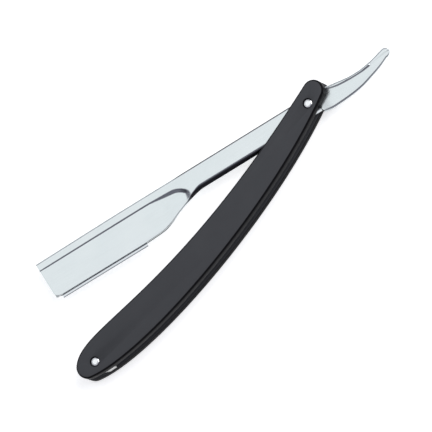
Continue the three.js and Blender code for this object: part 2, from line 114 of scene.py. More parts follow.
SHEET = 0.4
BLADE_HALF = 0.9
TAIL_HALF = 0.6
BEAD_HALF = 0.8
BEAD_SOFT = 0.5
SPINE_ROUND = 0.9
FOLD_INSIDE = 0.3
SEAM_HALF = 0.12
LIP_CLOSED = 0.02
LIP_THICK = 0.15
INSIDE_CLOSED = 0.015
THINNEST = 0.01
SHANK_EDGE = 5.05
NECK_EDGE = 3.7
NECK_REACH = 2.6
NECK_SHOULDER = 1
SHANK_START = NECK_REACH + 9
PLATE_EDGE = 11.95
SPINE_AT_SHANK = -3.9
SPINE_AT_HEEL = -3.95
SPINE_AT_TOE = -3.55
TOE_END = SPAN - 1.8
TOE_SLANT = math.tan(math.radians(6))
TOE_CORNER_LONG = 3.0
TOE_CORNER_HIGH = 2.1
TAIL_END = -32.8
TAIL_TIP = 2.1
TAIL_NOTCH = -26
ROOT_START = -8
ROOT_END = -3.2
HOLLOW_START = -5
PRESS = 0.3
HEEL_PRESS = 0.42
TOE_FADE = 0.5
STEP_MIDDLE = -0.4
TOE_BEND = 16
CLOSE_RINGS_END = 70

CUTTING_EDGE = PLATE_EDGE + 1.2
BLADE_TOP = CUTTING_EDGE - 11
BLADE_HALF_LENGTH = 21.3
BLADE_HALF_THICK = 0.05
EDGE_HALF_LENGTH = 19
TAB_HEIGHT = 6.7
TAB_CORNER = 0.4
BEVEL_HEIGHT = 0.7
HONED = 0.35
HONED_THICK = 0.35
SLOT_HEIGHT = 0.7
NOTCH_PLACE = 15
NOTCH_R = 1.76
MIDDLE_NOTCH_R = 3.2
TOE_SET_BACK = 0.1
BLADE_MIDDLE = TOE_END - (PLATE_EDGE - SPINE_AT_TOE) * TOE_SLANT - TOE_SET_BACK - BLADE_HALF_LENGTH
HEEL_LENGTH = 28.9
HEEL_END = BLADE_MIDDLE - EDGE_HALF_LENGTH + 0.4
HEEL_START = HEEL_END - HEEL_LENGTH

CLIP_PLAY = 0.06
CLIP_LIP = PLATE_EDGE - 0.3
CLIP_CHAMFER = 0.08
CLIP_SLIT = BLADE_HALF_THICK + 0.03
CLIP_BEAD_ROUND = 0.6
CLIP_SLOPE = 0.25
CLIP_STUD_HOLE_R = 1.715
CLIP_HEEL = BLADE_MIDDLE - BLADE_HALF_LENGTH - 1.2
CLIP_HEEL_ROUND = 2.0
CLIP_HEEL_FADE = 8
CLIP_TOE = TOE_END - TOE_SET_BACK


def heel(share):
    return HEEL_START + (HEEL_END - HEEL_START) * share


def heel_edge(share):
    return SHANK_EDGE + (PLATE_EDGE - SHANK_EDGE) * share


def tail(share):
    return TAIL_END * share


# ---- Meshes ----
MERGE_WITHIN = 0.002
SHARP_DEGREES = 38


def make_mesh(name, vertices, faces, space):
    """A mesh object from vertices in a drawing space, smooth-shaded with its real edges kept sharp."""
    mesh = bpy.data.meshes.new(name)
    mesh.from_pydata([space @ Vector(v) for v in vertices], [], faces)
    mesh.validate()
    piece = bpy.data.objects.new(name, mesh)
    bpy.context.scene.collection.objects.link(piece)
    tidy_mesh(piece)
    return piece


def tidy_mesh(piece):
    """Outward faces, merged doubles, smooth shading with sharp edges."""
    shape = bmesh.new()
    shape.from_mesh(piece.data)
    bmesh.ops.remove_doubles(shape, verts=shape.verts, dist=MERGE_WITHIN * MM)
    bmesh.ops.recalc_face_normals(shape, faces=shape.faces)
    shape.to_mesh(piece.data)
    shape.free()
    piece.data.shade_smooth()
    piece.data.set_sharp_from_angle(angle=math.radians(SHARP_DEGREES))


def grid_faces(rows, columns, closed_rows=False):
    """Quads between closed rings of equal length, numbered ring by ring."""
    faces = []
    for r in range(rows if closed_rows else rows - 1):
        for c in range(columns):
            a, b = r * columns + c, r * columns + (c + 1) % columns
            up = ((r + 1) % rows) * columns
            faces.append((a, b, up + (c + 1) % columns, up + c))
    return faces


def turned(name, profile, space, segments=96):
    """A profile of (radius, height) pairs turned about z. It starts and ends on the axis, or closes."""
    on_axis = profile[0][0] == 0
    rows = profile[1:-1] if on_axis else profile
    vertices = [
        (r * math.cos(2 * math.pi * i / segments), r * math.sin(2 * math.pi * i / segments), z)
        for r, z in rows for i in range(segments)
    ]
    faces = grid_faces(len(rows), segments, closed_rows=not on_axis)
    if on_axis:
        last = (len(rows) - 1) * segments
        vertices += [(0, 0, profile[0][1]), (0, 0, profile[-1][1])]
        low, high = len(vertices) - 2, len(vertices) - 1
        for i in range(segments):
            faces.append((low, i, (i + 1) % segments))
            faces.append((high, last + i, last + (i + 1) % segments))
    return make_mesh(name, vertices, faces, space)


def bore_cutter(radius, reach):
    """The profile of a plain hole, cut as far as reach to both sides."""
    return [(0, -reach), (radius, -reach), (radius, reach), (0, reach)]


def cut(piece, cutter):
    """Cuts cutter out of piece and removes the cutter."""
    change = piece.modifiers.new("cut", "BOOLEAN")
    change.operation = "DIFFERENCE"
    change.solver = "EXACT"
    change.object = cutter
    evaluated = piece.evaluated_get(bpy.context.evaluated_depsgraph_get())
    mesh = bpy.data.meshes.new_from_object(evaluated)
    piece.modifiers.clear()
    piece.data = mesh
    bpy.data.objects.remove(cutter)
    tidy_mesh(piece)


def quarter(steps):
    """(sine, cosine) pairs of a quarter turn."""
    turns = [math.pi / 2 * i / steps for i in range(steps + 1)]
    return [(math.sin(turn), math.cos(turn)) for turn in turns]


def smoothstep(x, low, high):
    t = min(max((x - low) / (high - low), 0), 1)
    return t * t * (3 - 2 * t)


def curve(pairs):
    """A smooth function through (x, value) pairs that never overshoots them (monotone cubic)."""
    slopes = [(v1 - v0) / (x1 - x0) for (x0, v0), (x1, v1) in zip(pairs, pairs[1:])]
    before, after = [slopes[0], *slopes], [*slopes, slopes[-1]]
    tangents = [2 * b * a / (b + a) if b * a > 0 else 0 for b, a in zip(before, after)]

    def value(x):
        if x <= pairs[0][0]:
            return pairs[0][1]
        if x >= pairs[-1][0]:
            return pairs[-1][1]
        i = next(n for n, (end, _) in enumerate(pairs) if end >= x) - 1
        (x0, v0), (x1, v1) = pairs[i], pairs[i + 1]
        width, rise, t = x1 - x0, v1 - v0, (x - x0) / (x1 - x0)
        start, end = width * tangents[i], width * tangents[i + 1]
        return v0 + t * (start + t * (3 * rise - 2 * start - end + t * (start + end - 2 * rise)))

    return value


def spread(low, high, steps):
    """Evenly spaced values from low, up to but without high."""
    return [low + (high - low) * i / steps for i in range(steps)]


# ---- Materials ----
# Painted shade: the shank's rolled sides are painted dark between these two fades, each from dark to bright.
PAINTED_SHADE_START = (4, -2)
PAINTED_SHADE_END = (heel(0.17), heel(0.33))
NOISE_REACH = (0.3, 0.7)
# A colour mix node's sockets go by number, because it has several of the same name.
MIX_FACTOR, MIX_FIRST, MIX_SECOND, MIX_RESULT = 0, 6, 7, 2


def principled(name, colour, roughness, metallic=0.0, **more):
    """A new material. Its shader is returned too, so that textures can be added to it."""
    material = bpy.data.materials.new(name)
    material.use_nodes = True
    shader = material.node_tree.nodes["Principled BSDF"]
    shader.inputs["Base Color"].default_value = (*colour, 1)
    shader.inputs["Roughness"].default_value = roughness
    shader.inputs["Metallic"].default_value = metallic
    for socket, value in more.items():
        shader.inputs[socket].default_value = value
    return material, shader


def add_node(owner, kind, **settings):
    """A new node in a material or the world, with its input values and its own settings."""
    node = owner.node_tree.nodes.new(kind)
    for name, value in settings.items():
        if name in node.inputs:
            node.inputs[name].default_value = value
        else:
            setattr(node, name, value)
    return node


def noise_field(material, scale, stretch=(1, 1, 1), turn=0.0, detail=3.0):
    """Noise over the object's own coordinates, in features per metre, stretched along a turned axis."""
    links = material.node_tree.links
    place = add_node(material, "ShaderNodeTexCoord")
    mapping = add_node(material, "ShaderNodeMapping", vector_type="TEXTURE")
    mapping.inputs["Rotation"].default_value = (0, 0, turn)
    mapping.inputs["Scale"].default_value = stretch
    noise = add_node(material, "ShaderNodeTexNoise", Scale=scale, Detail=detail, Roughness=0.55)
    links.new(place.outputs["Object"], mapping.inputs["Vector"])
    links.new(mapping.outputs["Vector"], noise.inputs["Vector"])
    return noise.outputs["Fac"]


def vary(material, shader, socket, field, low, high):
    """Drives one of the shader's sockets from a noise field, between two values."""
    spread_out = add_node(material, "ShaderNodeMapRange")
    spread_out.inputs["From Min"].default_value = NOISE_REACH[0]
    spread_out.inputs["From Max"].default_value = NOISE_REACH[1]
    spread_out.inputs["To Min"].default_value = low
    spread_out.inputs["To Max"].default_value = high
    material.node_tree.links.new(field, spread_out.inputs["Value"])
    material.node_tree.links.new(spread_out.outputs["Result"], shader.inputs[socket])


def mix_colours(owner, field, first, second):
    """A blend from the first colour to the second over a field. Each is an RGB triple or a socket."""
    mix = add_node(owner, "ShaderNodeMix", data_type="RGBA")
    owner.node_tree.links.new(field, mix.inputs[MIX_FACTOR])
    for colour, socket in ((first, mix.inputs[MIX_FIRST]), (second, mix.inputs[MIX_SECOND])):
        if isinstance(colour, tuple):
            socket.default_value = (*colour, 1)
        else:
            owner.node_tree.links.new(colour, socket)
    return mix.outputs[MIX_RESULT]


def colour_with(material, shader, colour):
    material.node_tree.links.new(colour, shader.inputs["Base Color"])


def bump(material, shader, *layers):
    """Height layers, each (field, depth in millimetres), added one after another."""
    links = material.node_tree.links
    normal = None
    for field, depth in layers:
        node = add_node(material, "ShaderNodeBump", Distance=depth * MM, Strength=1.0)
        links.new(field, node.inputs["Height"])
        if normal:
            links.new(normal, node.inputs["Normal"])
        normal = node.outputs["Normal"]
    links.new(normal, shader.inputs["Normal"])


def arm_place(material, direction):
    """A point's place along one of the arm's axes, in millimetres from the pivot."""
    links = material.node_tree.links
    axis = (ARM_SPACE.to_3x3() @ Vector(direction)) / MM
    dot = add_node(material, "ShaderNodeVectorMath", operation="DOT_PRODUCT")
    dot.inputs[1].default_value = axis / MM
    links.new(add_node(material, "ShaderNodeTexCoord").outputs["Object"], dot.inputs[0])
    shift = add_node(material, "ShaderNodeMath", operation="SUBTRACT")
    shift.inputs[1].default_value = axis.dot(PIVOT) / MM
    links.new(dot.outputs["Value"], shift.inputs[0])
    return shift.outputs["Value"]


def ramp(owner, field, start, stop):
    """Rises smoothly from 0 where the field is start to 1 where it is stop."""
    rise = add_node(owner, "ShaderNodeMapRange", interpolation_type="SMOOTHSTEP")
    rise.inputs["From Min"].default_value = start
    rise.inputs["From Max"].default_value = stop
    owner.node_tree.links.new(field, rise.inputs["Value"])
    return rise.outputs["Result"]


def facing_up(material, low, high):
    """0 on walls and 1 on flat faces, front and back, by how far the surface leans."""
    links = material.node_tree.links
    parts = add_node(material, "ShaderNodeSeparateXYZ")
    links.new(add_node(material, "ShaderNodeNewGeometry").outputs["Normal"], parts.inputs[0])
    size = add_node(material, "ShaderNodeMath", operation="ABSOLUTE")
    links.new(parts.outputs["Z"], size.inputs[0])
    return ramp(material, size.outputs["Value"], low, high)


def satin_black():
    """Moulded black plastic, satin grey on its flat faces; the walls and rounded edges get painted shade."""
    material, shader = principled("satin_black", (0.05, 0.051, 0.055), 0.42, IOR=1.12)
    handling = noise_field(material, 90, detail=2)
    grain = noise_field(material, 2600, detail=2)
    faces = mix_colours(material, handling, (0.070, 0.072, 0.078), (0.084, 0.086, 0.092))
    # Painted shade: surfaces that lean away from flat get near-black instead of the faces' grey.
    flat = facing_up(material, 0.93, 0.996)
    colour_with(material, shader, mix_colours(material, flat, (0.006, 0.006, 0.007), faces))
    vary(material, shader, "Roughness", handling, 0.36, 0.46)
    bump(material, shader, (grain, 0.006))
    return material


def off_white():
    """The spacer: smooth light plastic."""
    material, shader = principled("off_white", (0.72, 0.72, 0.70), 0.35)
    cloud = noise_field(material, 400)
    colour_with(material, shader, mix_colours(material, cloud, (0.66, 0.66, 0.64), (0.76, 0.76, 0.74)))
    bump(material, shader, (noise_field(material, 1800), 0.004))
    return material


def sheet_steel():
    """Polished stainless sheet with faint lines along the arm and the unevenness of thin sheet. On the
    shank, the rolled sides and other sideways surfaces are painted near-black: painted shade."""
    material, shader = principled("sheet_steel", (0.68, 0.71, 0.72), 0.22, metallic=1.0)
    tree = material.node_tree
    lines = noise_field(material, 5200, stretch=(60, 1, 1), turn=ARM_TURN, detail=4)
    cloud = noise_field(material, 70, detail=2)
    polished = mix_colours(material, cloud, (0.64, 0.68, 0.69), (0.71, 0.735, 0.74))
    along = arm_place(material, (1, 0, 0))
    # Painted shade: along the shank, between the two fades, sideways-facing steel is painted near-black.
    bright = facing_up(material, 0.87, 0.97)
    for start, stop in (PAINTED_SHADE_END, PAINTED_SHADE_START):
        either = add_node(material, "ShaderNodeMath", operation="MAXIMUM")
        tree.links.new(bright, either.inputs[0])
        tree.links.new(ramp(material, along, start, stop), either.inputs[1])
        bright = either.outputs["Value"]
    colour_with(material, shader, mix_colours(material, bright, (0.05, 0.05, 0.055), polished))
    vary(material, shader, "Roughness", lines, 0.19, 0.27)
    bump(material, shader, (lines, 0.0012), (noise_field(material, 55, detail=1), 0.03))
    return material


def clip_steel():
    """The clip's plain spring steel, a little duller than the holder."""
    material, shader = principled("clip_steel", (0.46, 0.48, 0.49), 0.34, metallic=1.0)
    lines = noise_field(material, 3600, stretch=(30, 1, 1), turn=ARM_TURN, detail=3)
    vary(material, shader, "Roughness", lines, 0.28, 0.42)
    bump(material, shader, (lines, 0.002))
    return material


def blade_steel():
    """Bright blade steel with fine grinding marks across the edge, dark grey along the honed strip: partly
    its finish, partly painted shade.
    """
    material, shader = principled("blade_steel", (0.66, 0.68, 0.70), 0.2, metallic=1.0)
    marks = noise_field(material, 9000, stretch=(1, 25, 1), turn=ARM_TURN, detail=3)
    across = arm_place(material, (0, 1, 0))
    # The honed strip's dark grey is partly the honed finish and partly painted shade.
    honed = ramp(material, across, CUTTING_EDGE - 1.2 * HONED, CUTTING_EDGE - 0.8 * HONED)
    colour_with(material, shader, mix_colours(material, honed, (0.66, 0.68, 0.70), (0.2, 0.21, 0.23)))
    vary(material, shader, "Roughness", marks, 0.16, 0.26)
    bump(material, shader, (marks, 0.0008))
    return material


def rivet_steel():
    """Polished rivet heads with light scuffs."""
    material, shader = principled("rivet_steel", (0.80, 0.80, 0.81), 0.12, metallic=1.0)
    scuffs = noise_field(material, 3000, detail=4)
    vary(material, shader, "Roughness", scuffs, 0.08, 0.2)
    bump(material, shader, (scuffs, 0.002))
    return material


def washer_brass():
    """Plain turned brass of the hidden washers and bush."""
    material, shader = principled("washer_brass", (0.62, 0.45, 0.18), 0.3, metallic=1.0)
    vary(material, shader, "Roughness", noise_field(material, 2500), 0.24, 0.4)
    return material


MATERIALS = {
    "scale_plastic": satin_black(),
    "spacer_plastic": off_white(),
    "holder_steel": sheet_steel(),
    "clip_steel": clip_steel(),
    "blade_steel": blade_steel(),
    "rivet_steel": rivet_steel(),
    "washer_brass": washer_brass(),
}


def finish_piece(piece, body, slot, *nodes):
    """Gives a new piece its material and its body, and hides the CAD nodes that it stands for."""
    piece.data.materials.clear()
    piece.data.materials.append(MATERIALS[slot])
    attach(piece, body)
    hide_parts(*nodes)


# ---- Handle ----
def end_point(end, inset, side):
    """Where a long edge leaves a round end, and the direction of the outline there."""
    angle = math.radians(end[side])
    radius = end["r"] - inset
    at = Vector((end["x"] + radius * math.cos(angle), end["y"] + radius * math.sin(angle)))
    return at, Vector((-math.sin(angle), math.cos(angle)))


def arc(end, inset, start, stop, steps):
    radius = end["r"] - inset
    turns = [math.radians(angle) for angle in spread(start, stop, steps)]
    return [Vector((end["x"] + radius * math.cos(t), end["y"] + radius * math.sin(t))) for t in turns]


def long_edge(start, reach_out, stop, reach_in, steps):
    """A cubic between two end points, each reaching along its own direction."""
    (p0, d0), (p3, d3) = start, stop
    p1, p2 = p0 + d0 * reach_out, p3 - d3 * reach_in
    return [
        p0 * (1 - t) ** 3 + p1 * 3 * t * (1 - t) ** 2 + p2 * 3 * t * t * (1 - t) + p3 * t ** 3
        for t in spread(0, 1, steps)
    ]


def handle_outline(inset=0.0):
    """The handle's outline, anticlockwise from under the nose, drawn that much smaller."""
    nose_above, nose_below = end_point(NOSE_END, inset, "concave"), end_point(NOSE_END, inset, "convex")
    butt_above, butt_below = end_point(BUTT_END, inset, "concave"), end_point(BUTT_END, inset, "convex")
    return [
        *arc(NOSE_END, inset, NOSE_END["convex"], NOSE_END["concave"], 48),
        *long_edge(nose_above, CONCAVE_REACH["nose"], butt_above, CONCAVE_REACH["butt"], 110),
        *arc(BUTT_END, inset, BUTT_END["concave"], BUTT_END["convex"] + 360, 56),
        *long_edge(butt_below, CONVEX_REACH["butt"], nose_below, CONVEX_REACH["nose"], 120),
    ]


def moved_in(outline, distance):
    """The outline with every point moved inwards, square to it."""
    count = len(outline)
    moved = []
    for i, point in enumerate(outline):
        along = (outline[(i + 1) % count] - outline[i - 1]).normalized()
        moved.append(point + Vector((-along.y, along.x)) * distance)
    return moved


def slab(name, outline, profile, space):
    """An outline raised through (inset, height) pairs, closed by a flat face at each end."""
    rings = [[(p.x, p.y, z) for p in moved_in(outline, inset)] for inset, z in profile]
    vertices = [v for ring in rings for v in ring]
    count = len(outline)
    faces = grid_faces(len(rings), count)
    faces.append(tuple(reversed(range(count))))
    faces.append(tuple(range((len(rings) - 1) * count, len(rings) * count)))
    return make_mesh(name, vertices, faces, space)


def scale_profile():
    """Inset and height from the inner face to the outer one: a small inner round, the wall, the outer
    round and a slight crown that ends in the flat face."""
    inner = [(INNER_ROUND * (1 - s), GAP_HALF + INNER_ROUND * (1 - c)) for s, c in quarter(3)]
    shoulder = HALF - CROWN_DROP - EDGE_ROUND
    outer = [(EDGE_ROUND * (1 - c), shoulder + EDGE_ROUND * s) for s, c in quarter(9)]
    crown = []
    for step in range(1, 6):
        share = step / 5
        crown.append((EDGE_ROUND + CROWN_WIDTH * share, HALF - CROWN_DROP * (1 - share) ** 2))
    return inner + outer[:-1] + crown


def rivet_cutter(side):
    """The hole for a pin, opening into a counterbore whose mouth is softened."""
    floor, soft = HALF - COUNTERBORE_DEPTH, SOFT_CORNER
    start, stop = GAP_HALF - CUT_PAST, HALF + CUT_PAST
    profile = [
        (0, start), (SCALE_BORE_R, start), (SCALE_BORE_R, floor), (COUNTERBORE_R, floor),
        (COUNTERBORE_R, HALF - soft), (COUNTERBORE_R + 0.3 * soft, HALF - 0.3 * soft),
        (COUNTERBORE_R + soft, HALF), (COUNTERBORE_R + soft, stop), (0, stop),
    ]
    return [(r, side * z) for r, z in profile]


def make_scale(name, side):
    profile = [(inset, side * z) for inset, z in scale_profile()]
    piece = slab(name, handle_outline(), profile, HANDLE_SPACE)
    for rivet, space in (("butt", HANDLE_SPACE), ("pivot", PIVOT_SPACE)):
        cut(piece, turned("cutter", rivet_cutter(side), space))
    finish_piece(piece, "handle", "scale_plastic", name)


def set_in(point):
    """Moves the spacer's outline further in where it goes round the butt's end."""
    middle = Vector((BUTT_END["x"], BUTT_END["y"]))
    share = 1 - smoothstep(point.x, SET_IN_FULL, SET_IN_FROM)
    return point + (middle - point).normalized() * SPACER_SET_IN * share


def make_spacer():
    """The light piece between the scales at the butt, cut off square behind the pin."""
    half = GAP_HALF - SPACER_PLAY
    rise = [(SOFT_CORNER * (1 - s), SOFT_CORNER * (1 - c)) for s, c in quarter(3)]
    profile = [(inset, -half + z) for inset, z in rise] + [(inset, half - z) for inset, z in reversed(rise)]
    middle = SPACER_REACH - SPACER_SET_BACK
    outline = [set_in(p) for p in handle_outline(SPACER_INSET)]
    above = [p for p in outline if p.x < middle and p.y > 0]
    below = [p for p in outline if p.x < SPACER_REACH and p.y <= 0]
    step = [Vector((SPACER_REACH, SPACER_LIP)), Vector((middle, SPACER_LIP))]
    piece = slab("butt_spacer_fine", above + below + step, profile, HANDLE_SPACE)
    finish_piece(piece, "handle", "spacer_plastic", "butt_spacer")


def collar_profile():
    """A domed washer with a rounded rim, standing on the counterbore's floor."""
    floor = HALF - COUNTERBORE_DEPTH + COLLAR_LIFT
    profile = [
        (COLLAR_BORE_R, floor), (COLLAR_R - COLLAR_CHAMFER, floor),
        (COLLAR_R, floor + COLLAR_CHAMFER), (COLLAR_R, floor + COLLAR_RIM),
    ]
    steps = 12
    for step in range(1, steps + 1):
        share = step / steps
        dome = (COLLAR_TOP - COLLAR_RIM) * math.sin(math.pi / 2 * share) ** 0.8
        profile.append((COLLAR_R + (COLLAR_BORE_R - COLLAR_R) * share, floor + COLLAR_RIM + dome))
    return profile


def pin_profile():
    """A straight pin whose ends are hammered into low domes."""
    top = HALF - COUNTERBORE_DEPTH + COLLAR_TOP
    end = [(PIN_R * c, top + PIN_DOME * s) for s, c in quarter(8)]
    return [(r, -z) for r, z in reversed(end)] + end


def make_rivet(rivet, space):
    pin = pin_profile()
    pin[0], pin[-1] = (0, pin[0][1]), (0, pin[-1][1])
    finish_piece(turned(f"{rivet}_pin_fine", pin, space), "handle", "rivet_steel", f"{rivet}_pin")
    for place, side in (("front", 1), ("rear", -1)):
        profile = [(r, side * z) for r, z in collar_profile()]
        piece = turned(f"{rivet}_collar_{place}_fine", profile, space)
        finish_piece(piece, "handle", "rivet_steel", f"{rivet}_collar_{place}")


# ---- Arm: every line is a curve over x, from the tail's end to the toe ----
spine_line = curve([
    (TAIL_END, -4.5), (tail(0.915), -3.75), (tail(0.823), -2.95), (tail(0.732), -2.45),
    (tail(0.64), -2.1), (tail(0.549), -2.1), (tail(0.457), -2.4), (tail(0.366), -2.85), (tail(0.274), -3.25),
    (tail(0.122), SPINE_AT_SHANK + 0.15), (0, SPINE_AT_SHANK), (HEEL_START, SPINE_AT_SHANK),
    (HEEL_END, SPINE_AT_HEEL), (TOE_END, SPINE_AT_TOE),
])
lower_line = curve([
    (TAIL_END, -0.65), (tail(0.915), 0.7), (tail(0.823), 1.85), (tail(0.732), 2.8), (tail(0.64), 3.75),
    (tail(0.549), 4.35), (tail(0.457), 4.75), (tail(0.335), 5.05), (tail(0.213), 5.2),
    (-NECK_REACH - NECK_SHOULDER, SHANK_EDGE), (-NECK_REACH, NECK_EDGE), (NECK_REACH, NECK_EDGE),
    (SHANK_START, SHANK_EDGE), (HEEL_START, SHANK_EDGE), (heel(0.14), heel_edge(0.08)),
    (heel(0.29), heel_edge(0.28)), (heel(0.43), heel_edge(0.5)), (heel(0.57), heel_edge(0.76)),
    (heel(0.71), heel_edge(0.93)), (HEEL_END, PLATE_EDGE),
])
spine_half = curve([
    (TAIL_END, TAIL_HALF), (TAIL_NOTCH - 0.3, TAIL_HALF), (TAIL_NOTCH + 0.3, BEAD_HALF),
    (ROOT_START, BEAD_HALF), (ROOT_END, ARM_HALF), (TOE_END, ARM_HALF),
])
tail_half = curve([(TAIL_END, TAIL_HALF - 0.1), (ROOT_START, TAIL_HALF), (ROOT_END, ARM_HALF)])
bead_edge = curve([
    (TAIL_END, -2.6), (tail(0.823), -1.7), (tail(0.762), -1.35), (tail(0.671), -1.05), (tail(0.549), -1.0),
    (tail(0.457), -1.1), (tail(0.366), -1.35), (tail(0.305), -1.75), (tail(0.244), -2.2), (0, -2.6),
])
# The lower edge: how far it is rolled shut (1 on the tail and shank, 0 on the holder's open plates),
# and how wide its slope is across the arm.
rolled = curve([(TAIL_END, 1), (HEEL_START, 1), (heel(0.38), 0), (TOE_END, 0)])
roll_width = curve([
    (TAIL_END, 0.5), (tail(0.37), 0.7), (NECK_REACH, 0.7), (SHANK_START, 1.75), (HEEL_START, 1.75),
    (heel(0.16), 0.95), (heel(0.33), 0.5), (heel(0.54), 0.3), (HEEL_END, 0.25),
])
# How far the two sheets have parted: shut on the tail, a sheet's thickness apart from the hollow on.
parted = curve([(TAIL_END, 0), (HOLLOW_START - 3, 0), (HOLLOW_START, 1), (TOE_END, 1)])

# The pressed step round the holder's flat pan: its middle line, and half its width there.
PAN_EDGE = [
    (TOE_END + 2, -0.25, 0.27), (heel(1.71), -0.35, 0.3), (heel(0.95), -0.4, 0.32), (heel(0.74), -0.4, 0.36),
    (heel(0.64), -0.2, 0.5), (heel(0.54), 0.05, 0.72), (heel(0.43), 0.3, 0.8), (heel(0.36), 0.5, 0.85),
    (heel(0.31), 1.0, 0.9), (heel(0.26), 1.8, 0.95), (heel(0.22), 2.8, 1.05), (heel(0.205), 3.6, 1.3),
    (heel(0.205), 4.6, 1.7), (heel(0.21), 6, 1.9), (heel(0.22), 9, 1.9),
]
# The step's middle line as a function of x, up to where it turns down round the heel.
step_line = curve([(x, y) for x, y, _ in reversed(PAN_EDGE[:10])])


def pan_depth(x, y):
    """0 outside the pan, 1 on its floor, smooth across the pressed step."""
    best, depth = None, 0
    for (x0, y0, w0), (x1, y1, w1) in zip(PAN_EDGE, PAN_EDGE[1:]):
        run, rise = x1 - x0, y1 - y0
        length = math.hypot(run, rise)
        t = min(max(((x - x0) * run + (y - y0) * rise) / length ** 2, 0), 1)
        away = math.hypot(x - x0 - t * run, y - y0 - t * rise)
        if best is None or away < best:
            best = away
            inside = (run * (y - y0) - rise * (x - x0)) / length < 0
            half = w0 + (w1 - w0) * t
            depth = (away if inside else -away) / half
    return smoothstep(depth, -1, 1)


def face_half(x, y):
    """Half the thickness of the sheet's outer face at a point of the arm."""
    if x < 0:
        edge = bead_edge(x)
        below_bead = smoothstep(y, edge - BEAD_SOFT, edge + BEAD_SOFT)
        return spine_half(x) + (tail_half(x) - spine_half(x)) * below_bead
    if x < HEEL_START:
        return ARM_HALF
    press = PRESS + HEEL_PRESS * (1 - smoothstep(x, heel(0.36), heel(0.7)))
    press *= 1 - TOE_FADE * smoothstep(x, TOE_END - 4, TOE_END)
    return ARM_HALF - press * pan_depth(x, y)


def across(x):
    """Places across the sheet, from its rolled edge to the fold, closer round the pressed step or bead."""
    low, high = lower_line(x) - roll_width(x), spine_line(x) + SPINE_ROUND
    if x < 0:
        middle, half = bead_edge(x), BEAD_SOFT
    else:
        middle = step_line(x)
        half = min((abs(px - x), py, w) for px, py, w in PAN_EDGE if py < 3)[2]
    start, stop = min(middle + 1.1 * half, low - 0.3), max(middle - 1.1 * half, high + 0.3)
    return [*spread(low, start, 18), *spread(start, stop, 12), *spread(stop, high, 7)]


def sheet_contour(x):
    """One face of the folded sheet at x, as (outer, inner) lists of (y, z) from lip to fold."""
    top, bottom = spine_line(x), lower_line(x)
    width, roll, apart = roll_width(x), rolled(x), parted(x)
    edge = face_half(x, bottom - width)
    lip = SEAM_HALF * apart * roll + LIP_CLOSED * (1 - apart) + (edge - LIP_THICK) * (1 - roll)
    power = 1.0 + 0.48 * roll
    outer = [
        (bottom - width * (1 - c ** power), lip + (edge - lip) * s ** power) for s, c in quarter(8)
    ][:-1]
    outer += [(y, face_half(x, y)) for y in across(x)]
    upper = face_half(x, top)
    fold = min(SPINE_ROUND, 0.9 * upper)
    outer += [(top + SPINE_ROUND * (1 - s), upper - fold * (1 - c)) for s, c in quarter(8)]
    inside_top = top + FOLD_INSIDE + (SHEET - FOLD_INSIDE) * apart
    inside_bottom = bottom - SHEET * roll * apart
    inner = []
    for y, z in outer:
        hidden = max(z - SHEET, INSIDE_CLOSED) * apart + INSIDE_CLOSED * (1 - apart)
        inner.append((min(max(y, inside_top), inside_bottom), min(hidden, z - THINNEST)))
    return outer, inner


def sheet_ring(x, squeeze=1.0):
    """The whole closed section: outside from the front lip over the fold to the rear lip, and back."""
    outer, inner = sheet_contour(x)
    outside = outer + [(y, -z) for y, z in reversed(outer)]
    inside = [(y, -z) for y, z in inner] + list(reversed(inner))
    middle = (spine_line(x) + lower_line(x)) / 2
    return [(middle + (y - middle) * squeeze, z) for y, z in outside + inside]


def toe_shear(x, y):
    """Leans the last stretch of the holder so that the toe ends on its slanted line."""
    return x - (y - SPINE_AT_TOE) * TOE_SLANT * smoothstep(x, TOE_END - TOE_BEND, TOE_END)


def arm_stations():
    """Places of the rings, closer where the shape changes."""
    corner_start = TOE_END - TOE_CORNER_LONG
    return [
        *spread(TAIL_END, TAIL_NOTCH - 0.35, 16),
        *spread(TAIL_NOTCH - 0.35, TAIL_NOTCH + 0.35, 6),
        *spread(TAIL_NOTCH + 0.35, HOLLOW_START - 4, 30),
        *spread(HOLLOW_START - 4, NECK_REACH, 40),
        *spread(NECK_REACH, SHANK_START, 12),
        *spread(SHANK_START, HEEL_START, 14),
        *spread(HEEL_START, CLOSE_RINGS_END, 72),
        *spread(CLOSE_RINGS_END, corner_start, 40),
        *[corner_start + TOE_CORNER_LONG * s for s, _ in quarter(12)],
    ]


def toe_corner_lift(x):
    """How far the lower edge rises over the rounded toe corner."""
    share = max(x - TOE_END + TOE_CORNER_LONG, 0) / TOE_CORNER_LONG
    return TOE_CORNER_HIGH * (1 - math.sqrt(max(1 - share ** 2, 0)))


def tail_tip_rings():
    """The tail's rounded end: the last section drawn ever narrower."""
    steps = 12
    rings = []
    for step in range(steps):
        angle = math.pi / 2 * (1 - (step + 0.25) / steps)
        x = TAIL_END - TAIL_TIP * math.sin(angle)
        rings.append([(x, y, z) for y, z in sheet_ring(TAIL_END, math.cos(angle))])
    return rings


def make_holder():
    """The folded sheet: tail, rolled shank and open holder, as one lofted section."""
    rings = tail_tip_rings()
    for x in arm_stations():
        lift = toe_corner_lift(x)
        ring = []
        for y, z in sheet_ring(x):
            lowered = y - lift * smoothstep(y, 2, lower_line(x))
            ring.append((toe_shear(x, lowered), lowered, z))
        rings.append(ring)
    count = len(rings[0])
    faces = grid_faces(len(rings), count)
    for base in (0, (len(rings) - 1) * count):
        far = base + count - 1
        faces += [(base + i, base + i + 1, far - i - 1, far - i) for i in range(count // 2 - 1)]
    piece = make_mesh("blade_holder_fine", [v for ring in rings for v in ring], faces, ARM_SPACE)
    cut(piece, turned("cutter", bore_cutter(ARM_BORE_R, HALF), ARM_SPACE))
    finish_piece(piece, "arm", "holder_steel", "blade_holder")


